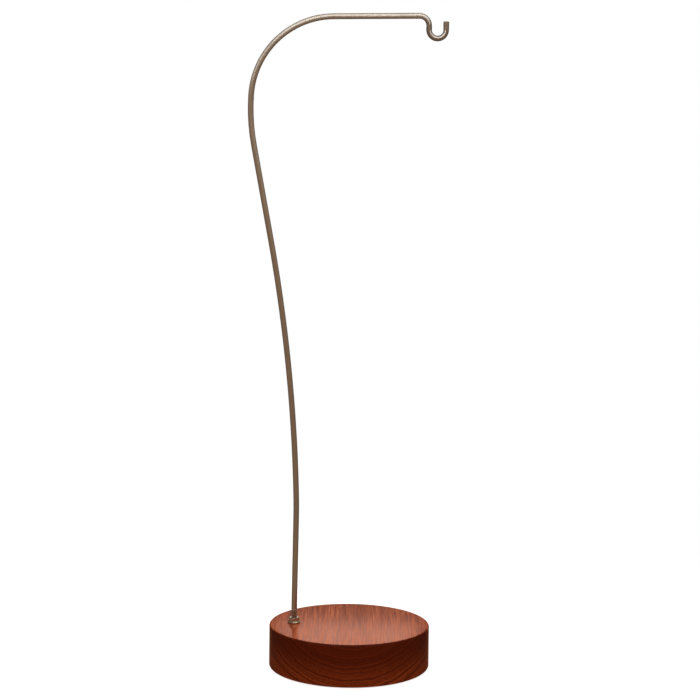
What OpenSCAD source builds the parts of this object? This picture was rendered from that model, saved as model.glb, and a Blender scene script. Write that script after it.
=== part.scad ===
// Table-top hanging stand: a round wooden base, and one bent steel rod that ends in a small open hook.
// The rod passes down through the base and is clamped between a flange nut above and a nut below,
// so it can be swung round on its foot. Origin: on the base's axis, at the surface it stands on.
// +Z is up, and the hook points along +X.

/* [Base] */
// Diameter of the wooden base
base_d = 140; // [120:1:180]
// Thickness of the wooden base
base_h = 36; // [25:0.5:50]
// Radius of the eased edge around the top
top_ease = 1.5; // [0.5:0.1:4]
// Radius of the eased edge around the underside
bottom_ease = 1; // [0.5:0.1:4]
// Distance from the base's axis to the rod's foot
foot_offset = 48.4; // [40:0.1:52]

/* [Rod] */
// Diameter of the rod, and of the thread on its foot
rod_d = 5; // [4:0.1:6]
// Upright length of the foot above the base
foot_straight = 9.8; // [8:0.1:20]
// Centreline radius of the large bend at the top
crown_r = 71.6; // [60:0.1:90]
// Length of the straight arm between the large bend and the hook
arm_l = 73; // [40:0.5:110]

/* [Hook] */
// Clear gap inside the hook
hook_gap = 9.6; // [8:0.1:20]
// Centreline radius of the bend from the arm down into the hook
hook_drop_r = 8.3; // [7:0.1:15]
// Straight length between that bend and the hook's round
hook_leg = 3.4; // [1:0.1:10]
// Length of the hook's upturned tip
hook_tip = 7; // [4:0.1:15]

/* [Foot fixing] */
// Width of both nuts across their flats
nut_flats = 8; // [7:0.1:9]
// Height of the flange nut
flange_nut_h = 5; // [4.5:0.1:6]
// Diameter of the flange nut's flange
flange_d = 11.4; // [11:0.1:13]
// Angle from the arm's direction to one corner of the flange nut, in degrees
flange_nut_turn = 20; // [0:1:59]
// Height of the nut under the base
lower_nut_h = 4; // [3:0.1:5]
// Diameter of the washer under the base
washer_d = 15; // [12:0.1:16]
// Thickness of the washer
washer_t = 1.2; // [0.8:0.1:1.6]
// Diameter of the counterbore under the base
counterbore_d = 18; // [17:0.1:20]
// Depth of the counterbore
counterbore_h = 9; // [8.5:0.1:12]

/* [Feet] */
// Diameter of each felt pad
pad_d = 16; // [10:0.5:18]
// Thickness of each felt pad
pad_h = 1; // [0.8:0.1:3]
// Distance from the base's axis to each pad's centre
pad_offset = 56; // [50:0.5:58]

/* [Hidden] */
$fn = 96;
PAD_COUNT = 4;
PAD_NODES = [for (i = [1:PAD_COUNT]) str("foot_pad_", i)];

rod_r = rod_d / 2;
base_top = pad_h + base_h;
// Radial clearance of the rod in its hole and in the nuts, and of the rod in the washer
rod_clearance = 0.06;
washer_clearance = 0.15;
// How far the rod reaches below the lower nut, and the bevel on its two ends
rod_reach = 1.5;
end_bevel = 0.5;
washer_z = pad_h + counterbore_h - washer_t;
lower_nut_z = washer_z - lower_nut_h;
rod_end_z = lower_nut_z - rod_reach;
hook_r = (hook_gap + rod_d) / 2;

// The rod's bends in order from the foot: [centreline radius, turn in degrees, straight length after].
// A positive turn leans towards the hook and a negative one leans away from it.
lean = [900, 0.75, 70];
belly_start = [530, -2.4, 0];
belly = [1430, -8.95, 82];
shoulder = [174, 14, 0];
crown = [crown_r, 85.7, arm_l];
heading = lean[1] + belly_start[1] + belly[1] + shoulder[1] + crown[1];
hook_drop = [hook_drop_r, 180 - heading, hook_leg];
hook_round = [hook_r, -180, 0];
BENDS = [lean, belly_start, belly, shoulder, crown, hook_drop, hook_round];

// Neighbouring lengths of the rod lap by this much, and every second one is fatter by this much,
// so that no two of their surfaces coincide.
lap = 0.3;
fatter = 0.04;

// Nut proportions: the bevel on a hexagon's corners, the flange's rim, the top of its slope, and the
// countersink at the thread's mouth
nut_bevel = 30;
flange_rim = 1.2;
flange_rise = 1.7;
mouth = 0.45;

wood = [0.55, 0.27, 0.17];
steel = [0.66, 0.6, 0.52];
zinc = [0.68, 0.64, 0.56];
felt = [0.16, 0.15, 0.14];

// A round bar along +Z from the origin, carried back by the lap into the piece before it.
module bar(length, r) {
    translate([0, 0, -lap])
        cylinder(h = length + lap, r = r);
}

// A round bar that leaves the origin along +Z and turns towards +X, or towards -X if the turn is negative.
module bent_bar(radius, turn, r) {
    lap_turn = lap / radius * 180 / PI;
    start = turn > 0 ? 180 - turn : -lap_turn;
    translate([sign(turn) * radius, 0, 0])
        rotate([90, 0, 0])
            rotate([0, 0, start])
                rotate_extrude(angle = abs(turn) + lap_turn, $fn = 240)
                    translate([radius, 0])
                        circle(r);
}

// Places its children at the end of a bend, with +Z along the bar there.
module after_bend(radius, turn) {
    translate([sign(turn) * radius, 0, 0])
        rotate([0, turn, 0])
            translate([-sign(turn) * radius, 0, 0])
                children();
}

// The rod's bends from number i on. The count is of the lengths laid so far.
module bends_from(i, laid) {
    radius = BENDS[i][0];
    turn = BENDS[i][1];
    straight = BENDS[i][2];
    bent_bar(radius, turn, rod_r + fatter * (laid % 2));
    after_bend(radius, turn) {
        if (straight > 0)
            bar(straight, rod_r + fatter * ((laid + 1) % 2));
        translate([0, 0, straight])
            if (i + 1 < len(BENDS))
                bends_from(i + 1, laid + (straight > 0 ? 2 : 1));
            else
                bevelled_tip();
    }
}

// The hook's upturned end, with a bevelled edge.
module bevelled_tip() {
    rotate_extrude()
        polygon([[0, -lap], [rod_r, -lap], [rod_r, hook_tip - end_bevel],
                 [rod_r - end_bevel, hook_tip], [0, hook_tip]]);
}

// The threaded foot, from its bevelled lower end up to the first bend.
module shank() {
    foot_top = base_top + foot_straight;
    rotate_extrude()
        polygon([[0, rod_end_z], [rod_r - end_bevel, rod_end_z], [rod_r, rod_end_z + end_bevel],
                 [rod_r, foot_top], [0, foot_top]]);
}

module rod() {
    color(steel)
        translate([-foot_offset, 0, 0]) {
            shank();
            translate([0, 0, base_top + foot_straight])
                bends_from(0, 1);
        }
}

// Half of the base's cross-section, from its axis outwards, with both rims rounded.
module base_profile() {
    r = base_d / 2;
    difference() {
        square([r, base_h]);
        translate([r - top_ease, base_h - top_ease])
            square(top_ease + 1);
        translate([r - bottom_ease, -1])
            square([bottom_ease + 1, bottom_ease + 1]);
    }
    translate([r - top_ease, base_h - top_ease])
        circle(top_ease);
    translate([r - bottom_ease, bottom_ease])
        circle(bottom_ease);
}

module base() {
    color(wood)
        difference() {
            translate([0, 0, pad_h])
                rotate_extrude($fn = 240)
                    base_profile();
            translate([-foot_offset, 0, 0]) {
                cylinder(h = base_top + 1, r = rod_r + rod_clearance);
                cylinder(h = pad_h + counterbore_h, d = counterbore_d);
            }
        }
}

// A hexagonal prism with its corners bevelled at the top, and at the bottom too if both is true.
module bevelled_hexagon(height, both) {
    corner_r = nut_flats / 2 / cos(30);
    face_r = nut_flats / 2 - 0.1;
    drop = (corner_r + 1 - face_r) * tan(nut_bevel);
    intersection() {
        cylinder(h = height, r = corner_r, $fn = 6);
        rotate_extrude()
            polygon([[0, 0], [both ? face_r : corner_r + 1, 0], [corner_r + 1, both ? drop : 0],
                     [corner_r + 1, height - drop], [face_r, height], [0, height]]);
    }
}

// The hole through a nut, with a countersink at each mouth.
module nut_hole(height) {
    r = rod_r + rod_clearance;
    translate([0, 0, -1])
        cylinder(h = height + 2, r = r);
    translate([0, 0, -0.01])
        cylinder(h = mouth, r1 = r + mouth, r2 = r - 0.01);
    translate([0, 0, height - mouth + 0.01])
        cylinder(h = mouth, r1 = r - 0.01, r2 = r + mouth);
}

module top_nut() {
    neck_r = nut_flats / 2;
    color(zinc)
        translate([-foot_offset, 0, base_top])
            difference() {
                union() {
                    rotate([0, 0, flange_nut_turn])
                        bevelled_hexagon(flange_nut_h, false);
                    rotate_extrude()
                        polygon([[0, 0], [flange_d / 2 - 0.2, 0], [flange_d / 2, 0.3], [flange_d / 2, flange_rim],
                                 [neck_r, flange_rise], [0, flange_rise]]);
                }
                nut_hole(flange_nut_h);
            }
}

module washer() {
    color(zinc)
        translate([-foot_offset, 0, washer_z])
            difference() {
                cylinder(h = washer_t, d = washer_d);
                translate([0, 0, -1])
                    cylinder(h = washer_t + 2, r = rod_r + washer_clearance);
            }
}

module lower_nut() {
    color(zinc)
        translate([-foot_offset, 0, lower_nut_z])
            difference() {
                bevelled_hexagon(lower_nut_h, true);
                nut_hole(lower_nut_h);
            }
}

module foot_pad(i) {
    color(felt)
        rotate([0, 0, (i - 0.5) * 360 / PAD_COUNT])
            translate([pad_offset, 0, 0])
                cylinder(h = pad_h, d = pad_d);
}

base();
rod();
top_nut();
washer();
lower_nut();
for (i = [1:PAD_COUNT])
    foot_pad(i);
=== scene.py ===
"""Looks for a table-top hanging stand: a lacquered wooden base, a bent steel rod that ends in a hook,
the nuts and washer that clamp the rod's foot, and felt pads under the base.

Every length is in metres, in the frame's own axes: the hook points along +X, and the wood's grain
runs along Y.
"""
import math

import bmesh
import bpy
from mathutils import Matrix, Vector, noise

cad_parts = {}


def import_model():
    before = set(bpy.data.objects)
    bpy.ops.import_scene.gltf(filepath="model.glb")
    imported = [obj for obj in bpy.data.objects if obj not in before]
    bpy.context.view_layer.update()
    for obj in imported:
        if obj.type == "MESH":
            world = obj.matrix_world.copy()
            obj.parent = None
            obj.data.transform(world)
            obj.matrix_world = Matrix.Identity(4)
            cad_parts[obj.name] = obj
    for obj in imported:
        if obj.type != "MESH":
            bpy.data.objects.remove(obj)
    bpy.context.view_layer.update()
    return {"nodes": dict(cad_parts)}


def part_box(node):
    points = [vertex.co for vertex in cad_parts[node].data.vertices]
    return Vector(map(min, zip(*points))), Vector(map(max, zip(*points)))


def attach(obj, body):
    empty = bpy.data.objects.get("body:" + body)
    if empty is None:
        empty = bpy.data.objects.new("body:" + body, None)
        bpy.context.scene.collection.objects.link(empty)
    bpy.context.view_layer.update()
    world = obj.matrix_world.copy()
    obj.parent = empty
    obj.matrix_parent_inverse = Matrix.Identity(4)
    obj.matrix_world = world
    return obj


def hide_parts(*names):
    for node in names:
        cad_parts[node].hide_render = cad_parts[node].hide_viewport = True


MM = 0.001
TAU = 2 * math.pi

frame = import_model()


# ---------------------------------------------------------------- sizes from the frame

def centre_and_size(node):
    """The centre of a node's box and its width, depth and height."""
    low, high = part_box(node)
    return (low + high) / 2, high - low


BASE_LOW, BASE_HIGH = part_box("base")
BASE_TOP = BASE_HIGH.z
BASE_UNDERSIDE = BASE_LOW.z
BASE_RADIUS = (BASE_HIGH.x - BASE_LOW.x) / 2
ROD_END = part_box("rod")[0].z
ROD_RADIUS = 2.5 * MM
ROD_SIDES = 48
NUT_CENTRE, NUT_SIZE = centre_and_size("top_nut")
LOWER_NUT_CENTRE, LOWER_NUT_SIZE = centre_and_size("lower_nut")
WASHER_CENTRE, WASHER_SIZE = centre_and_size("washer")
PAD_NODES = sorted(name for name in frame["nodes"] if name.startswith("foot_pad_"))
FOOT = Vector((WASHER_CENTRE.x, WASHER_CENTRE.y, 0))
NUT_FLATS = 8 * MM
NUT_BEVEL = math.radians(30)
FLANGE_NUT_TURN = math.radians(20)

# How much wider than the rod each hole is, on the radius.
NUT_CLEARANCE = 0.04 * MM
WASHER_CLEARANCE = 0.15 * MM
BASE_CLEARANCE = 0.06 * MM

# The rod's bends in order from the foot: the centreline's radius, the turn in degrees (towards the hook
# if positive), and the straight length that follows.
FOOT_STRAIGHT = 9.8 * MM
FIRST_BEND_Z = BASE_TOP + FOOT_STRAIGHT
LEAN = (900 * MM, 0.75, 70 * MM)
BELLY_START = (530 * MM, -2.4, 0)
BELLY = (1430 * MM, -8.95, 82 * MM)
SHOULDER = (174 * MM, 14, 0)
CROWN = (71.6 * MM, 85.7, 73 * MM)
STEM = (LEAN, BELLY_START, BELLY, SHOULDER, CROWN)
ARM_HEADING = sum(turn for radius, turn, straight in STEM)
HOOK_DROP = (8.3 * MM, 180 - ARM_HEADING, 3.4 * MM)
HOOK_ROUND = (7.3 * MM, -180, 7 * MM)
BENDS = (*STEM, HOOK_DROP, HOOK_ROUND)
# How far along the rod its hook starts, from the first bend.
HOOK_STARTS = sum(radius * math.radians(abs(turn)) + straight for radius, turn, straight in STEM)
# The rod's rings are about this far apart, and turn at most this many degrees from one to the next.
RING_GAP = 9 * MM
RING_TURN = 3.5

THREAD_PITCH = 0.8 * MM
THREAD_DEPTH = 0.40 * MM
# The shares of the pitch that the crest and each flank take. The root takes the rest.
THREAD_CREST = 0.22
THREAD_FLANK = 0.33
# The thread runs on above the top of the base, so a few turns show above the nut, and then fades out.
THREAD_ABOVE_BASE = 12.5 * MM
THREAD_TOP = BASE_TOP + THREAD_ABOVE_BASE
THREAD_FADE = 1.2 * MM
END_BEVEL = 0.5 * MM


# ---------------------------------------------------------------- mesh building

def smooth(mesh, sharp_angle):
    """Shades a mesh smooth, but keeps edges sharp where it turns by more than the angle, in degrees."""
    mesh.shade_smooth()
    mesh.set_sharp_from_angle(angle=math.radians(sharp_angle))


def new_object(name, bm, sharp_angle=40):
    """Makes a smooth-shaded object from a bmesh."""
    bmesh.ops.recalc_face_normals(bm, faces=bm.faces)
    mesh = bpy.data.meshes.new(name)
    bm.to_mesh(mesh)
    bm.free()
    smooth(mesh, sharp_angle)
    obj = bpy.data.objects.new(name, mesh)
    bpy.context.scene.collection.objects.link(obj)
    return obj


def rounded(points, radius, steps, closed=True):
    """A polyline in the plane with each corner replaced by a short curve, set back by at most radius."""
    largest_share = 0.4
    out = []
    count = len(points)
    for i, corner in enumerate(points):
        if not closed and i in (0, count - 1):
            out.append(corner)
            continue
        before = Vector(points[i - 1]) - Vector(corner)
        after = Vector(points[(i + 1) % count]) - Vector(corner)
        set_back = min(radius, before.length * largest_share, after.length * largest_share)
        start = Vector(corner) + before.normalized() * set_back
        end = Vector(corner) + after.normalized() * set_back
        for step in range(steps + 1):
            t = step / steps
            out.append(tuple((1 - t) ** 2 * start + 2 * t * (1 - t) * Vector(corner) + t * t * end))
    return out


def polar_mesh(profile_at, centre, segments, closed=True):
    """A bmesh that joins one profile for each angle round a vertical axis.

    profile_at(angle) gives a profile as (radius, height) points. A closed one ends where it began.
    """
    bm = bmesh.new()
    rows = []
    for j in range(segments):
        angle = TAU * j / segments
        direction = Vector((math.cos(angle), math.sin(angle), 0))
        points = [centre + direction * r + Vector((0, 0, z)) for r, z in profile_at(angle)]
        rows.append([bm.verts.new(point) for point in points])
    last = len(rows[0]) if closed else len(rows[0]) - 1
    for j in range(segments):
        here, there = rows[j], rows[(j + 1) % segments]
        for i in range(last):
            k = (i + 1) % len(here)
            bm.faces.new((here[i], there[i], there[k], here[k]))
    bmesh.ops.remove_doubles(bm, verts=bm.verts, dist=1e-7)
    bmesh.ops.dissolve_degenerate(bm, edges=bm.edges, dist=1e-8)
    return bm


# ---------------------------------------------------------------- rod

def ahead(heading):
    """The direction along the rod where it leans from upright towards the hook by an angle."""
    return Vector((math.sin(heading), 0, math.cos(heading)))


def outward(heading):
    """The direction square to the rod, in the plane that it is bent in."""
    return Vector((math.cos(heading), 0, -math.sin(heading)))


def rod_path():
    """Stations along the rod from its first bend to its tip: (point, heading, distance, curvature)."""
    point = FOOT + Vector((0, 0, FIRST_BEND_Z))
    heading = 0.0
    distance = 0.0
    stations = [(point.copy(), heading, distance, 0.0)]
    for radius, turn, straight in BENDS:
        total = math.radians(turn)
        side = math.copysign(1, total)
        arc = radius * abs(total)
        pieces = max(4, math.ceil(abs(turn) / RING_TURN), math.ceil(arc / RING_GAP))
        start, first_heading = point.copy(), heading
        for i in range(1, pieces + 1):
            heading = first_heading + total * i / pieces
            across = side * radius * (math.cos(first_heading) - math.cos(heading))
            along = side * radius * (math.sin(heading) - math.sin(first_heading))
            point = start + Vector((across, 0, along))
            stations.append((point.copy(), heading, distance + arc * i / pieces, side / radius))
        distance += arc
        if straight > 0:
            pieces = max(1, round(straight / RING_GAP))
            start = point.copy()
            for i in range(1, pieces + 1):
                walked = straight * i / pieces
                point = start + ahead(heading) * walked
                stations.append((point.copy(), heading, distance + walked, 0.0))
            distance += straight
    return stations


def thread_radius(share, depth):
    """The radius of a metric thread at a share of its pitch: a crest, a flank, a root and a flank."""
    down = min(max((share - THREAD_CREST) / THREAD_FLANK, 0), 1)
    up = min(max((share - (1 - THREAD_FLANK)) / THREAD_FLANK, 0), 1)
    return ROD_RADIUS - depth * (down - up)


def thread_columns(vertex):
    """The foot's helical thread: at each step round it, the vertices of one pitch, crest to crest."""
    shares = (0, THREAD_CREST, THREAD_CREST + THREAD_FLANK, 1 - THREAD_FLANK, 1)
    turns = math.ceil((THREAD_TOP - ROD_END) / THREAD_PITCH) + 1
    columns = []
    for step in range(turns * ROD_SIDES + 1):
        angle = TAU * step / ROD_SIDES
        column = []
        for share in shares:
            height = ROD_END + THREAD_PITCH * (step / ROD_SIDES + share - 1)
            z = min(max(height, ROD_END), THREAD_TOP)
            run_out = min(max((z - (THREAD_TOP - THREAD_FADE)) / THREAD_FADE, 0), 1)
            radius = thread_radius(share % 1, THREAD_DEPTH * (1 - run_out))
            radius = min(radius, ROD_RADIUS - END_BEVEL + (z - ROD_END))
            offset = Vector((math.cos(angle) * radius, math.sin(angle) * radius, z))
            column.append(vertex(FOOT + offset, 0.0, angle, radius, z - FIRST_BEND_Z))
        columns.append(column)
    return columns


def rod_ring(vertex, point, heading, distance, squeeze=1.0, scale=1.0):
    """One ring of the rod. A bend squeezes the section a little in its own plane."""
    radius = ROD_RADIUS * scale
    ring = []
    for j in range(ROD_SIDES):
        angle = TAU * j / ROD_SIDES
        offset = outward(heading) * math.cos(angle) * radius * squeeze
        offset += Vector((0, math.sin(angle) * radius, 0))
        ring.append(vertex(point + offset, heading, angle, radius, distance))
    return ring


def bar_rings(vertex):
    """The smooth bar, as rings from the top of its thread, round its bends, to its rounded-off tip."""
    most_squeeze, squeeze_rate = 0.035, 0.11
    thread_top = FOOT + Vector((0, 0, THREAD_TOP))
    rings = [rod_ring(vertex, thread_top, 0.0, THREAD_TOP - FIRST_BEND_Z)]
    stations = rod_path()
    for point, heading, distance, curvature in stations[:-1]:
        if point.z > THREAD_TOP:
            squeeze = 1 - min(most_squeeze, abs(curvature) * ROD_RADIUS * squeeze_rate)
            rings.append(rod_ring(vertex, point, heading, distance, squeeze))
    tip, heading, distance, _ = stations[-1]
    # One ring just before the tip's bevel, and then rings at shares of the way along it.
    for share in (-0.4, 0, 0.3, 0.6, 0.85, 1):
        back = END_BEVEL * (1 - share)
        inset = END_BEVEL * max(share, 0) ** 1.6
        point = tip - ahead(heading) * back
        rings.append(rod_ring(vertex, point, heading, distance - back, scale=1 - inset / ROD_RADIUS))
    return rings


def rod():
    """The rod as one mesh: a helical thread on its foot, then a round bar swept along its bends."""
    bm = bmesh.new()
    where = bm.verts.layers.float_vector.new("rod_space")
    around = bm.verts.layers.float_vector.new("around")

    def vertex(point, heading, angle, radius, distance):
        """A vertex that holds its place on the rod as if straight, and the direction round the rod."""
        v = bm.verts.new(point)
        v[where] = (math.cos(angle) * radius, math.sin(angle) * radius, distance)
        v[around] = Vector((0, 1, 0)) * math.cos(angle) - outward(heading) * math.sin(angle)
        return v

    columns = thread_columns(vertex)
    for here, there in zip(columns, columns[1:]):
        for i in range(len(here) - 1):
            bm.faces.new((here[i], there[i], there[i + 1], here[i + 1]))
    rings = bar_rings(vertex)
    for here, there in zip(rings, rings[1:]):
        for j in range(ROD_SIDES):
            k = (j + 1) % ROD_SIDES
            bm.faces.new((here[j], here[k], there[k], there[j]))
    bm.faces.new(rings[-1])
    bmesh.ops.remove_doubles(bm, verts=bm.verts, dist=2e-6)
    open_edges = [edge for edge in bm.edges if len(edge.link_faces) == 1]
    bmesh.ops.holes_fill(bm, edges=open_edges, sides=0)
    return new_object("rod_bent_bar", bm, sharp_angle=35)


# ---------------------------------------------------------------- nuts and washer

def hexagon_radius(angle):
    """Distance from a nut's centre to its side at an angle from a flat. Corners are cut just short."""
    sector = math.radians(60)
    corner_cut = math.radians(28.6)
    from_flat = (angle + sector / 2) % sector - sector / 2
    return NUT_FLATS / 2 / math.cos(min(abs(from_flat), corner_cut))


def nut_profile(angle, height, flange):
    """The outline of a nut at an angle from a corner: out of its bore, over the top and back underneath.

    A nut with a flange is flat underneath. Without one, both of its ends are bevelled.
    """
    bore = ROD_RADIUS + NUT_CLEARANCE
    mouth = 0.42 * MM
    face = NUT_FLATS / 2 - 0.1 * MM
    side = hexagon_radius(angle + math.radians(30))
    drop = (side - face) * math.tan(NUT_BEVEL)
    top = [(bore, height - mouth), (bore + mouth, height), (face, height), (side, height - drop)]
    if flange:
        rim, rise, chamfer = 1.2 * MM, 1.7 * MM, 0.3 * MM
        on_cone = rise - (side - NUT_FLATS / 2) / (flange - NUT_FLATS / 2) * (rise - rim)
        below = [(side, on_cone), (flange, rim), (flange, chamfer), (flange - chamfer, 0)]
    else:
        below = [(side, drop), (face, 0)]
    return top + below + [(bore + mouth, 0), (bore, mouth)]


def nut(name, centre, size, corner, flange=None):
    """A hexagonal nut with one corner at an angle from +X, and a flange if its radius is given."""
    origin = Vector((FOOT.x, FOOT.y, centre.z - size.z / 2))

    def profile_at(angle):
        return rounded(nut_profile(angle - corner, size.z, flange), radius=0.14 * MM, steps=4)

    return new_object(name, polar_mesh(profile_at, origin, segments=180), sharp_angle=50)


def washer():
    """A flat stamped washer with softened edges."""
    inner, outer = ROD_RADIUS + WASHER_CLEARANCE, WASHER_SIZE.x / 2
    half = WASHER_SIZE.z / 2
    outline = [(inner, -half), (outer, -half), (outer, half), (inner, half)]
    profile = rounded(outline, radius=0.22 * MM, steps=4)
    ring = polar_mesh(lambda angle: profile, WASHER_CENTRE, segments=128)
    return new_object("washer_stamped", ring, sharp_angle=50)


# ---------------------------------------------------------------- base and pads

def base():
    """The turned base: a disc with eased rims, bored for the rod, with a pocket below for the nut."""
    top_ease, bottom_ease, steps = 1.5 * MM, 1 * MM, 8
    sharp_angle = 30
    quarter = [math.radians(90) * i / steps for i in range(steps + 1)]
    profile = [(0, BASE_UNDERSIDE)]
    for turn in quarter:
        profile.append((BASE_RADIUS - bottom_ease * (1 - math.sin(turn)),
                        BASE_UNDERSIDE + bottom_ease * (1 - math.cos(turn))))
    for turn in quarter:
        profile.append((BASE_RADIUS - top_ease * (1 - math.cos(turn)),
                        BASE_TOP - top_ease * (1 - math.sin(turn))))
    profile.append((0, BASE_TOP))
    blank = polar_mesh(lambda angle: profile, Vector(), segments=256, closed=False)
    disc = new_object("base_turned", blank, sharp_angle)

    hole = ROD_RADIUS + BASE_CLEARANCE
    pocket_top = WASHER_CENTRE.z + WASHER_SIZE.z / 2
    pocket, lip, past = 9 * MM, 0.4 * MM, 2 * MM
    outline = [(0, BASE_UNDERSIDE - past), (pocket + lip + past, BASE_UNDERSIDE - past),
               (pocket, BASE_UNDERSIDE + lip), (pocket, pocket_top), (hole, pocket_top),
               (hole, BASE_TOP - lip), (hole + lip + past, BASE_TOP + past), (0, BASE_TOP + past)]
    drill = new_object("drill", polar_mesh(lambda angle: outline, FOOT, segments=96, closed=False))
    cut = disc.modifiers.new("drilled", "BOOLEAN")
    cut.object = drill
    cut.operation = "DIFFERENCE"
    cut.solver = "EXACT"
    apply_modifiers(disc)
    bpy.data.objects.remove(drill)
    smooth(disc.data, sharp_angle)
    return disc


def apply_modifiers(obj):
    """Replaces an object's mesh with what its modifiers make of it."""
    depsgraph = bpy.context.evaluated_depsgraph_get()
    made = bpy.data.meshes.new_from_object(obj.evaluated_get(depsgraph))
    obj.modifiers.clear()
    obj.data = made


def felt_pad(node, number):
    """A punched felt disc with soft rims and a slightly uneven edge."""
    centre, size = centre_and_size(node)
    radius, half = size.x / 2, size.z / 2
    fuzz_width, fuzz_depth = 1.3 * MM, 0.16 * MM
    outline = [(0, -half), (radius, -half), (radius, half), (0, half)]
    outline = rounded(outline, radius=0.55 * MM, steps=5, closed=False)
    # Each pad reads its own stretch of the noise.
    own_place = Vector((9.7 * number, 0, 0))

    def profile_at(angle):
        points = []
        for r, z in outline:
            spot = Vector((math.cos(angle) * r, math.sin(angle) * r, z)) / fuzz_width + own_place
            edge = min(max((r / radius - 0.9) * 10, 0), 1)
            points.append((r - abs(noise.noise(spot)) * fuzz_depth * edge, z))
        return points

    pad = polar_mesh(profile_at, centre, segments=160, closed=False)
    return new_object(f"felt_pad_{number}", pad, sharp_angle=60)


# ---------------------------------------------------------------- materials

class Graph:
    """Short calls for building the nodes of a material or a world."""

    def __init__(self, owner):
        owner.use_nodes = True
        self.owner = owner
        self.tree = owner.node_tree
        self.tree.nodes.clear()

    def node(self, kind, **settings):
        node = self.tree.nodes.new("ShaderNode" + kind)
        for name, value in settings.items():
            setattr(node, name, value)
        return node

    def link(self, value, socket):
        """Joins an output to a socket, or sets the socket to a plain value."""
        if isinstance(value, bpy.types.NodeSocket):
            self.tree.links.new(value, socket)
        elif isinstance(value, tuple) and len(socket.default_value) == 4:
            socket.default_value = (*value, 1)
        else:
            socket.default_value = value

    def math(self, operation, *values):
        node = self.node("Math", operation=operation)
        for value, socket in zip(values, node.inputs):
            self.link(value, socket)
        return node.outputs[0]

    def add_up(self, *terms):
        """The sum of values, each times its own weight."""
        total = 0.0
        for value, weight in terms:
            total = self.math("MULTIPLY_ADD", value, weight, total)
        return total

    def vector_math(self, operation, a, b):
        node = self.node("VectorMath", operation=operation)
        self.link(a, node.inputs[0])
        self.link(b, node.inputs[1])
        return node.outputs[0]

    def length(self, vector):
        node = self.node("VectorMath", operation="LENGTH")
        self.link(vector, node.inputs[0])
        return node.outputs["Value"]

    def split(self, vector):
        node = self.node("SeparateXYZ")
        self.link(vector, node.inputs[0])
        return node.outputs

    def coordinates(self, output="Object"):
        return self.node("TexCoord").outputs[output]

    def noise(self, vector, scale, stretch=(1, 1, 1), detail=2.0):
        """Noise of a given fineness, drawn out along an axis where stretch is under 1 there."""
        node = self.node("TexNoise")
        self.link(self.vector_math("MULTIPLY", vector, stretch), node.inputs["Vector"])
        node.inputs["Scale"].default_value = scale
        node.inputs["Detail"].default_value = detail
        return node.outputs["Fac"]

    def bands(self, value, width, detail):
        """Noise along one line, with bands of about the given width."""
        node = self.node("TexNoise", noise_dimensions="1D")
        self.link(value, node.inputs["W"])
        node.inputs["Scale"].default_value = 1 / width
        node.inputs["Detail"].default_value = detail
        return node.outputs["Fac"]

    def remap(self, value, low, high, out_low=0.0, out_high=1.0):
        """Carries low..high smoothly onto out_low..out_high, and holds past both ends."""
        node = self.node("MapRange", interpolation_type="SMOOTHSTEP")
        for number, socket in zip((value, low, high, out_low, out_high), node.inputs):
            self.link(number, socket)
        return node.outputs[0]

    def ramp(self, value, stops):
        node = self.node("ValToRGB")
        elements = node.color_ramp.elements
        while len(elements) < len(stops):
            elements.new(0.5)
        for element, (place, colour) in zip(elements, stops):
            element.position = place
            element.color = (*colour, 1)
        self.link(value, node.inputs[0])
        return node.outputs[0]

    def mix(self, share, a, b):
        node = self.node("Mix", data_type="RGBA")
        self.link(share, node.inputs[0])
        self.link(a, node.inputs[6])
        self.link(b, node.inputs[7])
        return node.outputs[2]


class Surface(Graph):
    """A material with one Principled shader."""

    def __init__(self, name):
        super().__init__(bpy.data.materials.new(name))
        self.shader = self.node("BsdfPrincipled")
        self.link(self.shader.outputs[0], self.node("OutputMaterial").inputs["Surface"])

    def set(self, **values):
        """Sets the shader's sockets, with each name's underscores standing for spaces."""
        for name, value in values.items():
            self.link(value, self.shader.inputs[name.replace("_", " ")])

    def bump(self, height, distance, strength):
        node = self.node("Bump")
        node.inputs["Strength"].default_value = strength
        node.inputs["Distance"].default_value = distance
        self.link(height, node.inputs["Height"])
        self.link(node.outputs[0], self.shader.inputs["Normal"])


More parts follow.
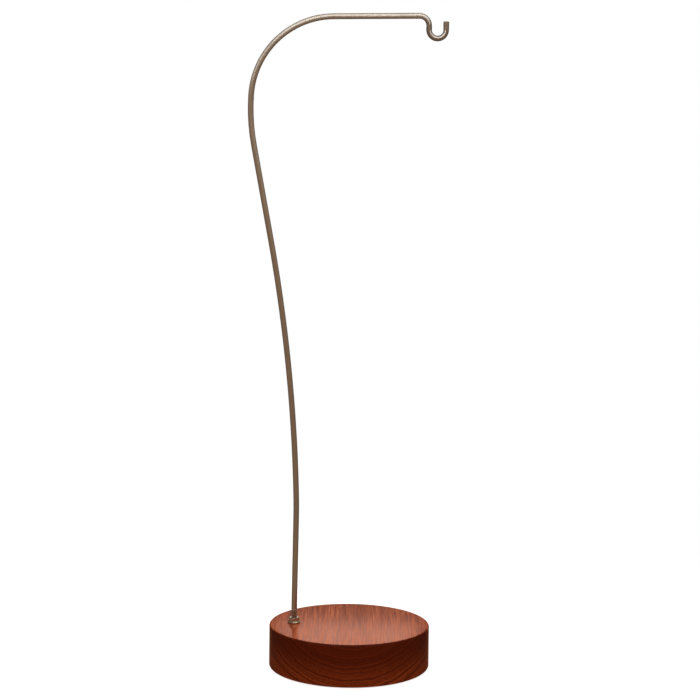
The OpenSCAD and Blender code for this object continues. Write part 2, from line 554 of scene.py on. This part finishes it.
def wood_material():
    """Reddish-brown hardwood in satin lacquer, with fibres and pores along Y and rings on its ends."""
    g = Surface("lacquered_hardwood")
    place = g.coordinates()

    # Rings round a line along Y above the base, so they cross the front as shallow bowls.
    pith = (4 * MM, 0.0, BASE_TOP + 62 * MM)
    distance = g.length(g.vector_math("MULTIPLY", g.vector_math("SUBTRACT", place, pith), (1, 0, 1)))
    sway = g.noise(place, 24, (1, 0.3, 1))
    ripple = g.noise(place, 150, (1, 0.25, 1))
    distance = g.add_up((distance, 1.0), (sway, 7 * MM), (ripple, 1.6 * MM))
    rings = g.bands(distance, 2.0 * MM, 3)
    # Painted bounce light: the end grain is paler, with stronger arcs, downwards and a little to each
    # side, standing in for light thrown up from the floor.
    painted_floor_bounce = g.remap(g.add_up((distance, 0.3), (g.split(place)["Z"], -1.0)), -3 * MM, 33 * MM)

    # Fibres of three widths, all drawn out along Y, on a line that drifts a little to each side.
    drift = g.node("CombineXYZ")
    g.link(g.math("MULTIPLY", g.noise(place, 8, (0.6, 1, 0.6), 1), 5 * MM), drift.inputs["X"])
    along = g.vector_math("ADD", place, drift.outputs[0])
    fine = g.noise(along, 1200, (1, 0.02, 1))
    middle = g.noise(along, 420, (1, 0.025, 1))
    ribbon = g.noise(along, 110, (1, 0.06, 1))
    pores = g.remap(g.noise(along, 2600, (1, 0.075, 1), 1), 0.60, 0.74)

    # End grain drinks in more finish, so the wood is darker where its surface faces along the fibres.
    end_grain = g.remap(g.math("ABSOLUTE", g.split(g.coordinates("Normal"))["Y"]), 0.03, 0.35)
    figure = g.add_up((fine, 0.56), (middle, 0.18), (ribbon, 0.10), (rings, 0.16))
    face = g.ramp(g.remap(figure, 0.34, 0.66), [
        (0.0, (0.225, 0.028, 0.007)),
        (0.5, (0.410, 0.070, 0.0175)),
        (1.0, (0.620, 0.140, 0.042)),
    ])
    arcs = g.remap(g.add_up((rings, 0.6), (fine, 0.4)), 0.34, 0.66)
    # The first ramp is the end grain's own arcs. The second is the same arcs painted paler, as if lit by
    # the floor, and it is used low on the side.
    upper_side_arcs = g.ramp(arcs, [(0.0, (0.066, 0.006, 0.0006)), (1.0, (0.110, 0.012, 0.0012))])
    rim = g.ramp(arcs, [(0.0, (0.085, 0.009, 0.0010)), (1.0, (0.300, 0.050, 0.010))])
    colour = g.mix(end_grain, face, g.mix(painted_floor_bounce, upper_side_arcs, rim))
    colour = g.mix(g.math("MULTIPLY", pores, 0.45), colour, (0.045, 0.009, 0.003))
    g.bump(g.add_up((fine, 0.25), (middle, 0.3), (pores, -1.0)), 0.05 * MM, 0.45)
    gloss = g.add_up((fine, 0.18), (middle, 0.16), (pores, 0.15), (end_grain, 0.22), (1.0, 0.045))
    g.set(Base_Color=colour, Roughness=gloss, IOR=1.17)
    return g.owner


def steel_material():
    """Drawn steel, with faint streaks along the bar, a few scuffs, and gloss that spreads round it."""
    g = Surface("drawn_steel")
    place = g.node("Attribute", attribute_name="rod_space").outputs["Vector"]
    streaks = g.noise(place, 4200, (1, 1, 0.012), 3)
    patches = g.noise(place, 75, detail=3)
    scuffs = g.remap(g.noise(place, 1900, (0.25, 0.25, 1)), 0.66, 0.82)
    tone = g.remap(g.add_up((streaks, 0.55), (patches, 0.45)), 0.2, 0.8)
    # The hook is rubbed smoother by what hangs from it, and its colour is darkened there as painted
    # shade.
    hook_smoothed_and_shaded = g.remap(g.split(place)["Z"], HOOK_STARTS, HOOK_STARTS + 15 * MM)
    clean = g.ramp(tone, [(0.0, (0.45, 0.41, 0.355)), (1.0, (0.56, 0.51, 0.45))])
    # Painted shade: the hook's colour is mixed halfway towards a dark brown.
    colour = g.mix(g.math("MULTIPLY", hook_smoothed_and_shaded, 0.5), clean, (0.20, 0.17, 0.16))
    gloss = g.add_up((streaks, 0.08), (patches, 0.07), (scuffs, 0.03), (hook_smoothed_and_shaded, -0.10), (1.0, 0.25))
    g.bump(streaks, 0.01 * MM, 0.12)
    around = g.node("VectorTransform", vector_type="VECTOR", convert_from="OBJECT", convert_to="WORLD")
    g.link(g.node("Attribute", attribute_name="around").outputs["Vector"], around.inputs[0])
    g.set(Base_Color=colour, Roughness=gloss, Metallic=1.0, Anisotropic=0.93, Tangent=around.outputs[0])
    return g.owner


def plated_material():
    """Zinc-plated fasteners: a soft mottled plating, duller in places."""
    g = Surface("plated_steel")
    place = g.coordinates()
    mottle = g.noise(place, 900, detail=3)
    haze = g.noise(place, 260)
    colour = g.ramp(g.remap(mottle, 0.3, 0.7), [(0.0, (0.46, 0.42, 0.34)), (1.0, (0.56, 0.52, 0.43))])
    g.set(Base_Color=colour, Roughness=g.add_up((haze, 0.16), (1.0, 0.10)), Metallic=1.0)
    g.bump(mottle, 0.01 * MM, 0.15)
    return g.owner


def felt_material():
    """Dark pressed felt: matted short fibres with a soft sheen."""
    g = Surface("pressed_felt")
    place = g.coordinates()
    tone = g.add_up((g.noise(place, 2600, detail=4), 0.65), (g.noise(place, 520), 0.35))
    shades = [(0.0, (0.012, 0.011, 0.010)), (1.0, (0.050, 0.046, 0.042))]
    g.set(Base_Color=g.ramp(g.remap(tone, 0.3, 0.7), shades), Roughness=0.95, Sheen_Weight=0.35)
    g.bump(tone, 0.15 * MM, 0.8)
    return g.owner


# ---------------------------------------------------------------- stage, light and camera

def stage():
    """A plain pale floor that thins out into the white room, and can be seen through from underneath."""
    bm = bmesh.new()
    bmesh.ops.create_circle(bm, cap_ends=True, segments=96, radius=1.2)
    floor = new_object("floor", bm)
    g = Surface("pale_floor")
    from_middle = g.length(g.coordinates())
    seen_from_above = g.math("SUBTRACT", 1.0, g.node("NewGeometry").outputs["Backfacing"])
    g.set(Base_Color=(0.90, 0.92, 0.94), Roughness=0.9)
    g.set(Emission_Color=(1.0, 1.0, 1.0), Emission_Strength=0.75)
    g.set(Alpha=g.math("MULTIPLY", g.remap(from_middle, 0.2, 0.75, 1.0, 0.0), seen_from_above))
    floor.data.materials.append(g.owner)
    floor.visible_glossy = False
    floor.visible_diffuse = False


# The studio's own glow: the height of a direction, and the colour there.
GLOW = [
    (0.0, (0.33, 0.225, 0.150)),
    (0.12, (0.40, 0.285, 0.195)),
    (0.45, (0.50, 0.42, 0.34)),
    (1.0, (0.36, 0.31, 0.26)),
]


def world():
    """A white room to look at, and a dim warm studio to be lit and mirrored by."""
    scene_world = bpy.data.worlds.new("studio")
    bpy.context.scene.world = scene_world
    g = Graph(scene_world)
    direction = g.split(g.coordinates("Generated"))
    studio = g.node("Background")
    g.link(g.ramp(direction["Z"], GLOW), studio.inputs["Color"])
    # The far side of the room is dimmer.
    g.link(g.remap(direction["Y"], -0.3, 0.6, 1.0, 0.4), studio.inputs["Strength"])
    seen = g.node("Background")
    g.link((1.0, 1.0, 1.0), seen.inputs["Color"])
    mix = g.node("MixShader")
    g.link(g.node("LightPath").outputs["Is Camera Ray"], mix.inputs[0])
    g.link(studio.outputs[0], mix.inputs[1])
    g.link(seen.outputs[0], mix.inputs[2])
    g.link(mix.outputs[0], g.node("OutputWorld").inputs["Surface"])


def softbox(name, place, target, width, depth, power, colour):
    """A rectangular area light at a place, aimed at a target."""
    light = bpy.data.lights.new(name, "AREA")
    light.shape = "RECTANGLE"
    light.size, light.size_y = width, depth
    light.energy = power
    light.color = colour
    obj = bpy.data.objects.new(name, light)
    bpy.context.scene.collection.objects.link(obj)
    aim = (Vector(target) - Vector(place)).to_track_quat("-Z", "Y")
    obj.matrix_world = Matrix.Translation(Vector(place)) @ aim.to_matrix().to_4x4()
    obj.visible_camera = False
    return obj


def panel_behind(piece, power, colour):
    """A low panel behind the stand that lights one piece only."""
    panel = softbox("behind", (0, 1.0, 0.61), (0, 0, 0.1), 0.3, 0.6, power, colour)
    lit = bpy.data.collections.new("lit_from_behind")
    lit.objects.link(piece)
    panel.light_linking.receiver_collection = lit


def lights(turned_base, flange_nut):
    """A strip with a brighter middle, and a softbox overhead, both on the viewer's side of the stand.

    The base and its flange nut are each lit from behind as well.
    """
    daylight = (0.96, 0.98, 1)
    softbox("strip", (0, -1.30, 1.08), (0, 0, 0.5), 2.6, 0.36, 5.2, daylight)
    softbox("bright_middle", (0, -1.28, 1.07), (0, 0, 0.5), 0.7, 0.36, 2.1, daylight)
    softbox("overhead", (0.2, -0.92, 1.74), (0, 0, 0.3), 2.6, 0.8, 10.0, daylight)
    panel_behind(turned_base, 1.68, (1, 0.59, 0.455))
    panel_behind(flange_nut, 1.0, (1, 0.98, 0.84))


def camera():
    """A long-lens camera a little above the base, tipped down just enough to hold the whole stand."""
    distance, elevation = 1.2275, math.radians(14.9)
    tip_down, swing, roll = math.radians(3.627), math.radians(-0.094), math.radians(0.633)
    data = bpy.data.cameras.new("camera")
    data.lens, data.sensor_width = 70.48, 36
    data.clip_start = 0.01
    obj = bpy.data.objects.new("camera", data)
    bpy.context.scene.collection.objects.link(obj)
    place = Vector((0, -math.cos(elevation) * distance, BASE_TOP + math.sin(elevation) * distance))
    turn = (Matrix.Rotation(-swing, 4, "Z") @ Matrix.Rotation(math.radians(90) - tip_down, 4, "X")
            @ Matrix.Rotation(roll, 4, "Z"))
    obj.matrix_world = Matrix.Translation(place) @ turn
    bpy.context.scene.camera = obj


# ---------------------------------------------------------------- putting it together

def add(piece, material, body, node):
    """Gives a piece its material and its body, and lets it stand for a CAD node."""
    piece.data.materials.clear()
    piece.data.materials.append(material)
    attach(piece, body)
    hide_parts(node)


camera()
stage()
world()
bpy.context.scene.view_settings.view_transform = "Standard"

plated = plated_material()
felt = felt_material()
turned_base = base()
add(turned_base, wood_material(), "stand", "base")
add(rod(), steel_material(), "mast", "rod")
flange_nut = nut("flange_nut", NUT_CENTRE, NUT_SIZE, FLANGE_NUT_TURN, NUT_SIZE.x / 2)
add(flange_nut, plated, "mast", "top_nut")
lights(turned_base, flange_nut)
add(nut("hex_nut", LOWER_NUT_CENTRE, LOWER_NUT_SIZE, 0), plated, "mast", "lower_nut")
add(washer(), plated, "stand", "washer")
for number, node in enumerate(PAD_NODES, start=1):
    add(felt_pad(node, number), felt, "stand", node)
